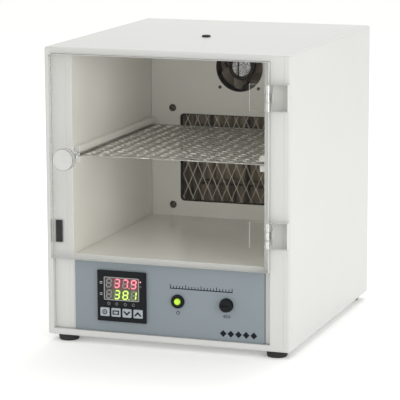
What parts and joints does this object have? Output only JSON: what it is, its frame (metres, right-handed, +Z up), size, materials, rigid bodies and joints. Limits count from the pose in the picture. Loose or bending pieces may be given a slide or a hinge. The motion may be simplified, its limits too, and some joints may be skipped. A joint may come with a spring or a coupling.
{
  "type": "laboratory incubator",
  "caption": "Bench-top laboratory incubator: white box case, clear hinged front door, mesh shelf, fan and heater behind the chamber, control panel below.",
  "frame": {"origin": "centre of the bounding box's footprint, on the bench under the feet", "axes": "+X to the right as seen from the front, +Y from the door towards the back, +Z up"},
  "size_m": [0.238, 0.3054, 0.2804],
  "materials": {
    "white_sheet": "semi-gloss white sheet with softly rounded edges",
    "panel_paint": "satin blue-grey paint with dark printed marks",
    "clear_acrylic": "clear polished acrylic",
    "hinge_steel": "bright plain steel",
    "zinc_mesh": "zinc-coated expanded steel",
    "dark_screws": "dark bronzed steel",
    "magnet_strip": "matt black magnetic strip",
    "fan_housing": "black moulded plastic",
    "fan_blades": "brown-black moulded plastic",
    "heater_sheath": "heat-darkened steel sheath",
    "black_plastic": "fine-textured black moulding",
    "display_smoke": "smoked clear window over a numeric display",
    "key_grey": "pale blue-grey rubberised keys",
    "lamp_green": "translucent green lens, lit",
    "fuse_brass": "plain brass caps",
    "relay_body": "dark grey moulding",
    "ivory_plastic": "ivory moulding",
    "foot_rubber": "black rubber"
  },
  "bodies": {
    "case": {"air_guard": "zinc_mesh", "back_panel": "white_sheet", "back_wall_screw_1": "dark_screws", "back_wall_screw_2": "dark_screws", "back_wall_screw_3": "dark_screws", "back_wall_screw_4": "dark_screws", "bottom_panel": "white_sheet", "catch_magnet": "magnet_strip", "chamber_back_wall": "white_sheet", "chamber_floor": "white_sheet", "control_panel": "panel_paint", "controller_case": "black_plastic", "display_window": "display_smoke", "fan_frame": "fan_housing", "front_left_foot": "foot_rubber", "front_right_foot": "foot_rubber", "fuse_holder": "black_plastic", "heater_bracket": "hinge_steel", "heater_relay": "relay_body", "heater_rod": "heater_sheath", "hinge_stile": "white_sheet", "lamp_body": "black_plastic", "lamp_lens": "lamp_green", "latch_stile": "white_sheet", "left_inner_wall": "white_sheet", "left_shelf_rail": "white_sheet", "left_side_panel": "white_sheet", "lower_frame_leaf": "clear_acrylic", "lower_hinge_pin": "hinge_steel", "lower_hinge_spacer": "clear_acrylic", "mains_inlet": "black_plastic", "rear_left_foot": "foot_rubber", "rear_right_foot": "foot_rubber", "right_inner_wall": "white_sheet", "right_shelf_rail": "white_sheet", "right_side_panel": "white_sheet", "switch_housing": "black_plastic", "temperature_probe": "hinge_steel", "terminal_block": "ivory_plastic", "thermal_cutout": "black_plastic", "top_panel": "white_sheet", "upper_frame_leaf": "clear_acrylic", "upper_hinge_pin": "hinge_steel", "upper_hinge_spacer": "clear_acrylic"},
    "door": {"door_panel": "clear_acrylic", "door_knob": "clear_acrylic", "knob_screw": "hinge_steel", "door_strike": "magnet_strip", "upper_door_leaf": "clear_acrylic", "lower_door_leaf": "clear_acrylic"},
    "shelf": {"shelf": "zinc_mesh"},
    "fan_rotor": {"fan_rotor": "fan_blades"},
    "set_key": {"set_key": "key_grey"},
    "shift_key": {"shift_key": "key_grey"},
    "down_key": {"down_key": "key_grey"},
    "up_key": {"up_key": "key_grey"},
    "fuse_cap": {"fuse_cap": "black_plastic", "fuse": "fuse_brass"},
    "power_rocker": {"power_rocker": "black_plastic"},
    "port_plug": {"port_plug": "foot_rubber"}
  },
  "joints": [
    {"name": "door_hinge", "type": "hinge", "parent": "case", "child": "door", "pos_m": [0.1005, -0.12831, 0.1765], "axis": [0, 0, 1], "range_deg": [0, 175]},
    {"name": "shelf_slide", "type": "slide", "parent": "case", "child": "shelf", "axis": [0, -1, 0], "range_m": [0, 0.004]},
    {"name": "fan_spin", "type": "hinge", "parent": "case", "child": "fan_rotor", "pos_m": [0.001, 0.10729, 0.2385], "axis": [0, 1, 0], "continuous": true},
    {"name": "set_key_press", "type": "slide", "parent": "case", "child": "set_key", "axis": [0, 1, 0], "range_m": [0, 0.0007], "stiffness_N_per_m": 600},
    {"name": "shift_key_press", "type": "slide", "parent": "case", "child": "shift_key", "axis": [0, 1, 0], "range_m": [0, 0.0007], "stiffness_N_per_m": 600},
    {"name": "down_key_press", "type": "slide", "parent": "case", "child": "down_key", "axis": [0, 1, 0], "range_m": [0, 0.0007], "stiffness_N_per_m": 600},
    {"name": "up_key_press", "type": "slide", "parent": "case", "child": "up_key", "axis": [0, 1, 0], "range_m": [0, 0.0007], "stiffness_N_per_m": 600},
    {"name": "fuse_cap_turn", "type": "hinge", "parent": "case", "child": "fuse_cap", "pos_m": [0.0574, -0.11971, 0.0464], "axis": [0, -1, 0], "range_deg": [0, 90]},
    {"name": "power_switch", "type": "hinge", "parent": "case", "child": "power_rocker", "pos_m": [0.014, 0.14899, 0.0485], "axis": [-1, 0, 0], "range_deg": [0, 18]},
    {"name": "port_plug_lift", "type": "slide", "parent": "case", "child": "port_plug", "axis": [0, 0, 1], "range_m": [0, 0.03]}
  ]
}
